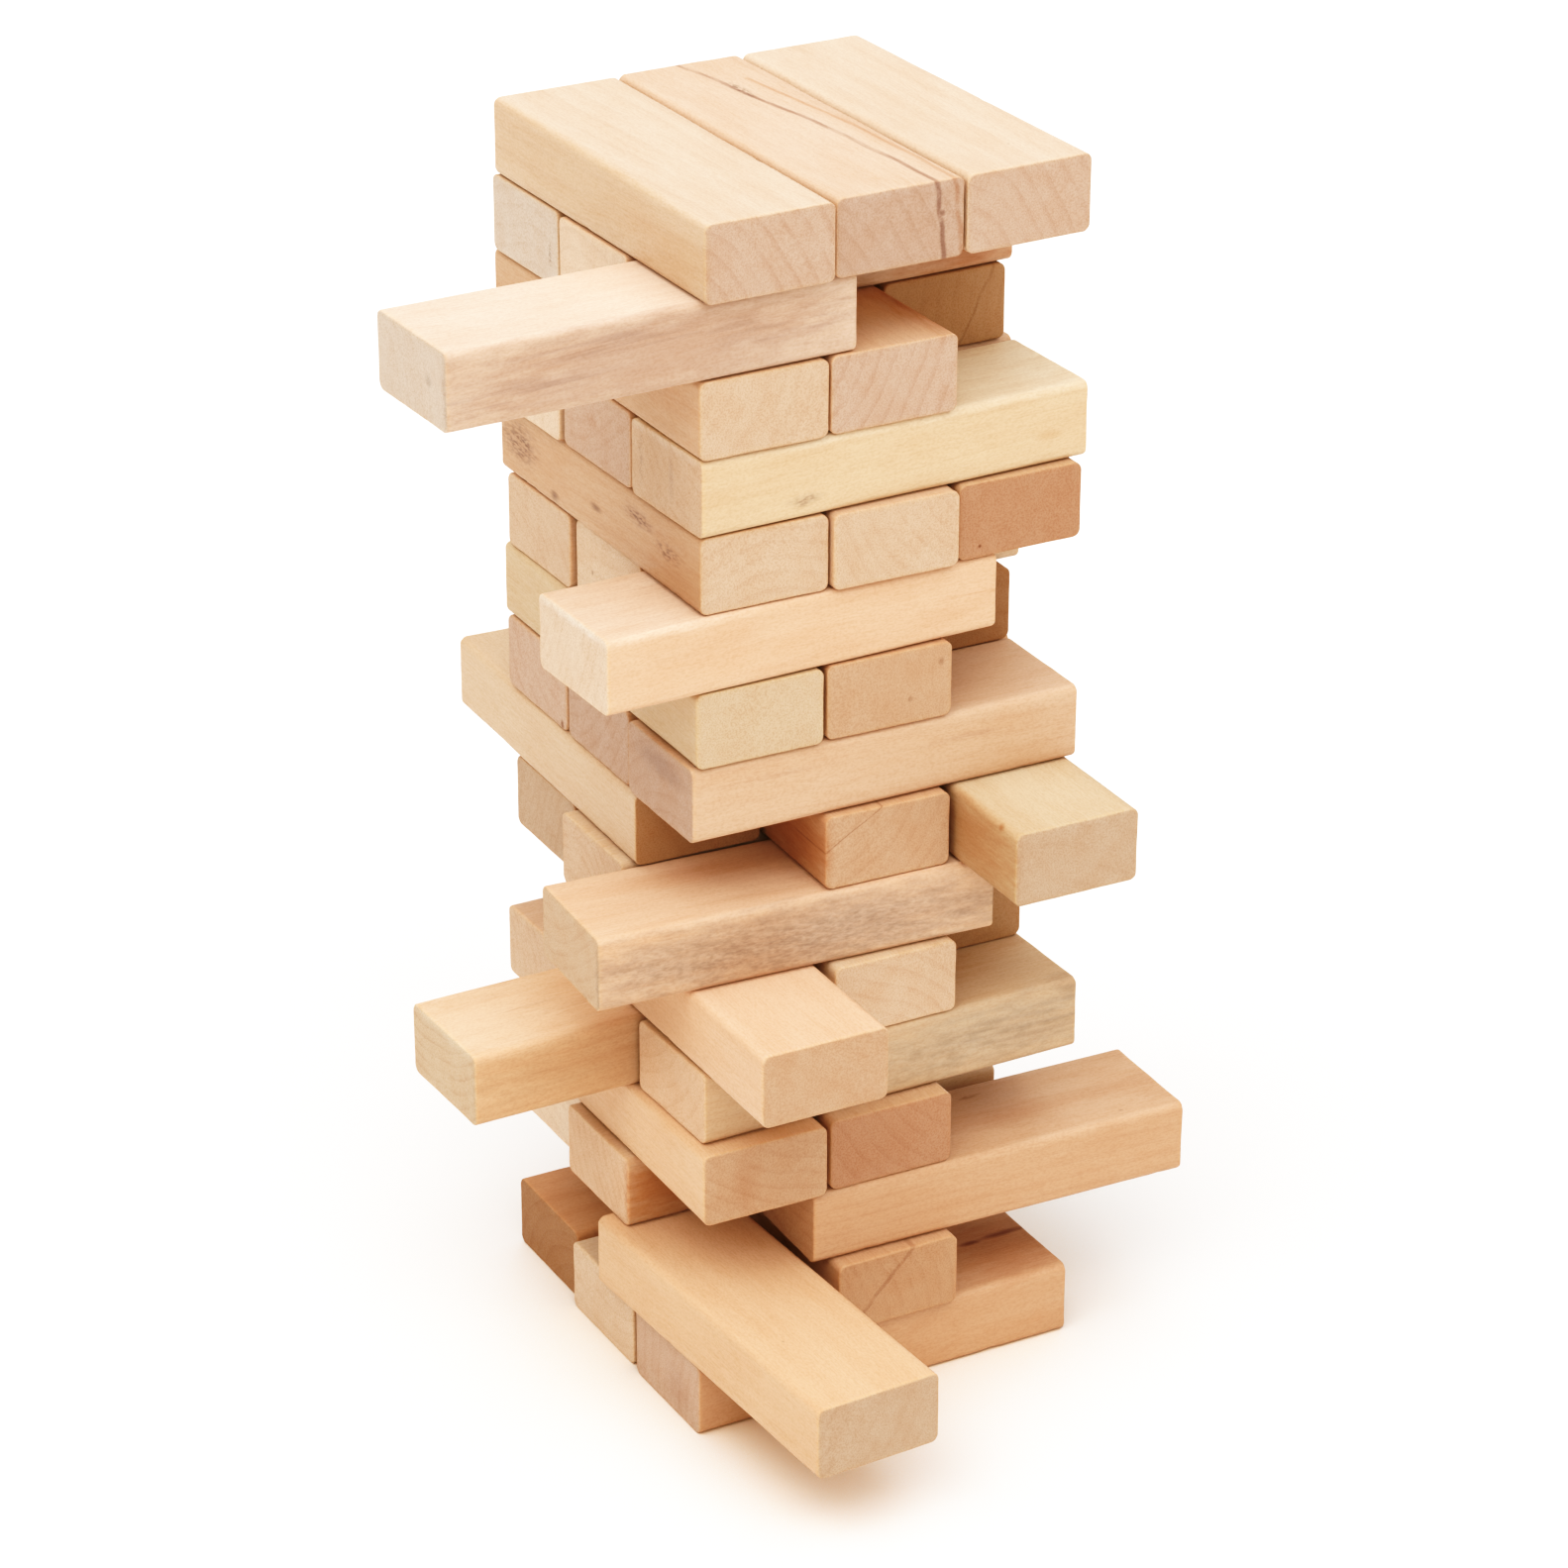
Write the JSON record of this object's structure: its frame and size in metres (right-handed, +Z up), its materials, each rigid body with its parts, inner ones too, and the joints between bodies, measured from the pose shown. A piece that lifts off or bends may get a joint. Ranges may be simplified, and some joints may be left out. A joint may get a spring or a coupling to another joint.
{
  "type": "giant tumbling tower",
  "caption": "Lawn stacking game of loose planed wooden blocks, stood in crossed levels, with some blocks drawn part way out and some slots empty.",
  "frame": {"origin": "centre of the underside of the bottom level's middle block, on the ground", "axes": "+Z up; X along the blocks of the bottom level, with +X to the right of someone facing the tower; +Y away from them, to the back"},
  "size_m": [0.3543, 0.3818, 0.5597],
  "materials": {
    "cream": "planed and sanded softly rounded wood, satin, no varnish",
    "lemon": "planed and sanded softly rounded wood, satin, no varnish",
    "beige": "planed and sanded softly rounded wood, satin, no varnish",
    "grey_beige": "planed and sanded softly rounded wood, satin, no varnish",
    "peach": "planed and sanded softly rounded wood, satin, no varnish",
    "pink": "planed and sanded softly rounded wood, satin, no varnish",
    "mauve": "planed and sanded softly rounded wood, satin, no varnish",
    "tan": "planed and sanded softly rounded wood, satin, no varnish",
    "olive": "planed and sanded softly rounded wood, satin, no varnish",
    "gold": "planed and sanded softly rounded wood, satin, no varnish",
    "terracotta": "planed and sanded softly rounded wood, satin, no varnish",
    "brown": "planed and sanded softly rounded wood, satin, no varnish"
  },
  "bodies": {
    "level_01_front": {"level_01_front": "mauve"},
    "level_01_middle": {"level_01_middle": "beige"},
    "level_01_back": {"level_01_back": "brown"},
    "level_02_left": {"level_02_left": "cream"},
    "level_02_middle": {"level_02_middle": "tan"},
    "level_03_front": {"level_03_front": "tan"},
    "level_03_middle": {"level_03_middle": "beige"},
    "level_03_back": {"level_03_back": "grey_beige"},
    "level_04_left": {"level_04_left": "pink"},
    "level_04_middle": {"level_04_middle": "terracotta"},
    "level_05_front": {"level_05_front": "olive"},
    "level_05_middle": {"level_05_middle": "gold"},
    "level_05_back": {"level_05_back": "peach"},
    "level_06_left": {"level_06_left": "peach"},
    "level_06_middle": {"level_06_middle": "cream"},
    "level_06_right": {"level_06_right": "brown"},
    "level_07_front": {"level_07_front": "olive"},
    "level_07_middle": {"level_07_middle": "beige"},
    "level_07_back": {"level_07_back": "tan"},
    "level_08_left": {"level_08_left": "cream"},
    "level_08_middle": {"level_08_middle": "tan"},
    "level_08_right": {"level_08_right": "olive"},
    "level_09_front": {"level_09_front": "pink"},
    "level_09_middle": {"level_09_middle": "tan"},
    "level_09_back": {"level_09_back": "mauve"},
    "level_10_left": {"level_10_left": "olive"},
    "level_10_middle": {"level_10_middle": "tan"},
    "level_10_right": {"level_10_right": "brown"},
    "level_11_front": {"level_11_front": "peach"},
    "level_11_middle": {"level_11_middle": "beige"},
    "level_11_back": {"level_11_back": "pink"},
    "level_12_left": {"level_12_left": "pink"},
    "level_12_middle": {"level_12_middle": "beige"},
    "level_12_right": {"level_12_right": "terracotta"},
    "level_13_front": {"level_13_front": "lemon"},
    "level_13_middle": {"level_13_middle": "pink"},
    "level_13_back": {"level_13_back": "cream"},
    "level_14_left": {"level_14_left": "cream"},
    "level_14_middle": {"level_14_middle": "tan"},
    "level_14_right": {"level_14_right": "brown"},
    "level_15_front": {"level_15_front": "grey_beige"},
    "level_15_middle": {"level_15_middle": "pink"},
    "level_15_back": {"level_15_back": "grey_beige"},
    "level_16_left": {"level_16_left": "cream"},
    "level_16_middle": {"level_16_middle": "pink"},
    "level_16_right": {"level_16_right": "cream"}
  },
  "joints": [
    {"name": "level_01_front_slide", "type": "slide", "parent": "level_01_middle", "child": "level_01_front", "axis": [1, 0, 0], "range_m": [-0.194, 0.196]},
    {"name": "level_01_back_slide", "type": "slide", "parent": "level_01_middle", "child": "level_01_back", "axis": [1, 0, 0], "range_m": [-0.199, 0.191]},
    {"name": "level_02_left_slide", "type": "slide", "parent": "level_01_middle", "child": "level_02_left", "axis": [-0.0087, 1, 0], "range_m": [-0.095, 0.295]},
    {"name": "level_02_middle_slide", "type": "slide", "parent": "level_01_middle", "child": "level_02_middle", "axis": [-0.0087, 1, 0], "range_m": [-0.192, 0.198]},
    {"name": "level_03_front_slide", "type": "slide", "parent": "level_01_middle", "child": "level_03_front", "axis": [1, -0.0035, 0], "range_m": [-0.248, 0.142]},
    {"name": "level_03_middle_slide", "type": "slide", "parent": "level_01_middle", "child": "level_03_middle", "axis": [1, -0.0035, 0], "range_m": [-0.1895, 0.2005]},
    {"name": "level_03_back_slide", "type": "slide", "parent": "level_01_middle", "child": "level_03_back", "axis": [1, -0.0035, 0], "range_m": [-0.198, 0.192]},
    {"name": "level_04_left_slide", "type": "slide", "parent": "level_01_middle", "child": "level_04_left", "axis": [0.0105, 0.9999, 0], "range_m": [-0.1925, 0.1975]},
    {"name": "level_04_middle_slide", "type": "slide", "parent": "level_01_middle", "child": "level_04_middle", "axis": [0.0105, 0.9999, 0], "range_m": [-0.195, 0.195]},
    {"name": "level_05_front_slide", "type": "slide", "parent": "level_01_middle", "child": "level_05_front", "axis": [0.9999, 0.0122, 0], "range_m": [-0.195, 0.195]},
    {"name": "level_05_middle_slide", "type": "slide", "parent": "level_01_middle", "child": "level_05_middle", "axis": [0.9999, 0.0122, 0], "range_m": [-0.115, 0.275]},
    {"name": "level_05_back_slide", "type": "slide", "parent": "level_01_middle", "child": "level_05_back", "axis": [0.9999, 0.0122, 0], "range_m": [-0.195, 0.195]},
    {"name": "level_06_left_slide", "type": "slide", "parent": "level_01_middle", "child": "level_06_left", "axis": [0, 1, 0], "range_m": [-0.137, 0.253]},
    {"name": "level_06_middle_slide", "type": "slide", "parent": "level_01_middle", "child": "level_06_middle", "axis": [0, 1, 0], "range_m": [-0.193, 0.197]},
    {"name": "level_06_right_slide", "type": "slide", "parent": "level_01_middle", "child": "level_06_right", "axis": [0, 1, 0], "range_m": [-0.242, 0.148]},
    {"name": "level_07_front_slide", "type": "slide", "parent": "level_01_middle", "child": "level_07_front", "axis": [0.9999, -0.0122, 0], "range_m": [-0.152, 0.238]},
    {"name": "level_07_middle_slide", "type": "slide", "parent": "level_01_middle", "child": "level_07_middle", "axis": [0.9999, -0.0122, 0], "range_m": [-0.1925, 0.1975]},
    {"name": "level_07_back_slide", "type": "slide", "parent": "level_01_middle", "child": "level_07_back", "axis": [0.9999, -0.0122, 0], "range_m": [-0.2, 0.19]},
    {"name": "level_08_left_slide", "type": "slide", "parent": "level_01_middle", "child": "level_08_left", "axis": [0.0244, 0.9997, 0], "range_m": [-0.253, 0.137]},
    {"name": "level_08_middle_slide", "type": "slide", "parent": "level_01_middle", "child": "level_08_middle", "axis": [0.0244, 0.9997, 0], "range_m": [-0.195, 0.195]},
    {"name": "level_08_right_slide", "type": "slide", "parent": "level_01_middle", "child": "level_08_right", "axis": [0.0244, 0.9997, 0], "range_m": [-0.144, 0.246]},
    {"name": "level_09_front_slide", "type": "slide", "parent": "level_01_middle", "child": "level_09_front", "axis": [0.9999, -0.0105, 0], "range_m": [-0.194, 0.196]},
    {"name": "level_09_middle_slide", "type": "slide", "parent": "level_01_middle", "child": "level_09_middle", "axis": [0.9999, -0.0105, 0], "range_m": [-0.196, 0.194]},
    {"name": "level_09_back_slide", "type": "slide", "parent": "level_01_middle", "child": "level_09_back", "axis": [0.9999, -0.0105, 0], "range_m": [-0.1965, 0.1935]},
    {"name": "level_10_left_slide", "type": "slide", "parent": "level_01_middle", "child": "level_10_left", "axis": [0.0122, 0.9999, 0], "range_m": [-0.195, 0.195]},
    {"name": "level_10_middle_slide", "type": "slide", "parent": "level_01_middle", "child": "level_10_middle", "axis": [0.0122, 0.9999, 0], "range_m": [-0.196, 0.194]},
    {"name": "level_10_right_slide", "type": "slide", "parent": "level_01_middle", "child": "level_10_right", "axis": [0.0122, 0.9999, 0], "range_m": [-0.255, 0.135]},
    {"name": "level_11_front_slide", "type": "slide", "parent": "level_01_middle", "child": "level_11_front", "axis": [1, 0.0087, 0], "range_m": [-0.147, 0.243]},
    {"name": "level_11_middle_slide", "type": "slide", "parent": "level_01_middle", "child": "level_11_middle", "axis": [1, 0.0087, 0], "range_m": [-0.197, 0.193]},
    {"name": "level_11_back_slide", "type": "slide", "parent": "level_01_middle", "child": "level_11_back", "axis": [1, 0.0087, 0], "range_m": [-0.195, 0.195]},
    {"name": "level_12_left_slide", "type": "slide", "parent": "level_01_middle", "child": "level_12_left", "axis": [-0.0035, 1, 0], "range_m": [-0.1965, 0.1935]},
    {"name": "level_12_middle_slide", "type": "slide", "parent": "level_01_middle", "child": "level_12_middle", "axis": [-0.0035, 1, 0], "range_m": [-0.1935, 0.1965]},
    {"name": "level_12_right_slide", "type": "slide", "parent": "level_01_middle", "child": "level_12_right", "axis": [-0.0035, 1, 0], "range_m": [-0.1965, 0.1935]},
    {"name": "level_13_front_slide", "type": "slide", "parent": "level_01_middle", "child": "level_13_front", "axis": [0.9997, 0.0244, 0], "range_m": [-0.195, 0.195]},
    {"name": "level_13_middle_slide", "type": "slide", "parent": "level_01_middle", "child": "level_13_middle", "axis": [0.9997, 0.0244, 0], "range_m": [-0.196, 0.194]},
    {"name": "level_13_back_slide", "type": "slide", "parent": "level_01_middle", "child": "level_13_back", "axis": [0.9997, 0.0244, 0], "range_m": [-0.195, 0.195]},
    {"name": "level_14_left_slide", "type": "slide", "parent": "level_01_middle", "child": "level_14_left", "axis": [-0.0087, 1, 0], "range_m": [-0.195, 0.195]},
    {"name": "level_14_middle_slide", "type": "slide", "parent": "level_01_middle", "child": "level_14_middle", "axis": [-0.0087, 1, 0], "range_m": [-0.196, 0.194]},
    {"name": "level_14_right_slide", "type": "slide", "parent": "level_01_middle", "child": "level_14_right", "axis": [-0.0087, 1, 0], "range_m": [-0.261, 0.129]},
    {"name": "level_15_front_slide", "type": "slide", "parent": "level_01_middle", "child": "level_15_front", "axis": [0.9997, 0.0244, 0], "range_m": [-0.079, 0.311]},
    {"name": "level_15_middle_slide", "type": "slide", "parent": "level_01_middle", "child": "level_15_middle", "axis": [0.9997, 0.0244, 0], "range_m": [-0.195, 0.195]},
    {"name": "level_15_back_slide", "type": "slide", "parent": "level_01_middle", "child": "level_15_back", "axis": [0.9997, 0.0244, 0], "range_m": [-0.196, 0.194]},
    {"name": "level_16_left_lift", "type": "slide", "parent": "level_01_middle", "child": "level_16_left", "axis": [0, 0, 1], "range_m": [0, 0.1]},
    {"name": "level_16_middle_lift", "type": "slide", "parent": "level_01_middle", "child": "level_16_middle", "axis": [0, 0, 1], "range_m": [0, 0.1]},
    {"name": "level_16_right_lift", "type": "slide", "parent": "level_01_middle", "child": "level_16_right", "axis": [0, 0, 1], "range_m": [0, 0.1]}
  ]
}
